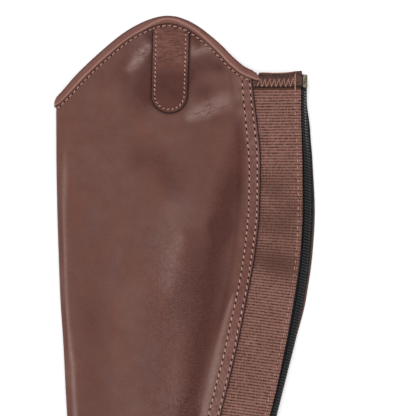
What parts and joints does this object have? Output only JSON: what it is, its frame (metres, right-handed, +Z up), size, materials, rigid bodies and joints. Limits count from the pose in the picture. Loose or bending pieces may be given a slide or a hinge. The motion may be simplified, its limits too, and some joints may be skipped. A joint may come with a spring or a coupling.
{
  "type": "leather gaiter",
  "caption": "Leather gaiter for the lower leg, laid flat with its zip closed: curved bound peak over the knee, tab under it, ribbed elastic calf panel and side zip.",
  "frame": {"origin": "middle of the outline on the surface that the gaiter lies on", "axes": "+Y up the leg from the ankle hem to the peak, +X from the shin fold to the zip, +Z up from the surface"},
  "size_m": [0.1864, 0.4401, 0.0127],
  "materials": {
    "leather": "soft brown leather with a fine grain and a slight sheen",
    "binding_leather": "smooth brown leather, folded round the edge",
    "elastic": "ribbed brown elastic",
    "hem_elastic": "dark brown woven band",
    "zip_tape": "black woven tape",
    "zip_coil": "black nylon coil",
    "aged_brass": "antique brass"
  },
  "bodies": {
    "gaiter": {"leather_panel": "leather", "elastic_panel": "elastic", "top_binding": "binding_leather", "reinforcement_tab": "leather", "elastic_hem_band": "hem_elastic", "zip_tape_outer": "zip_tape", "zip_tape_inner": "zip_tape", "zip_chain": "zip_coil", "zip_box": "aged_brass", "zip_slider": "aged_brass"},
    "pull_tab": {"pull_tab": "aged_brass"}
  },
  "joints": [
    {"name": "pull_tab_hinge", "type": "hinge", "parent": "gaiter", "child": "pull_tab", "pos_m": [0.04596, -0.206, 0.01044], "axis": [0.9397, 0, -0.342], "range_deg": [0, 175]}
  ]
}
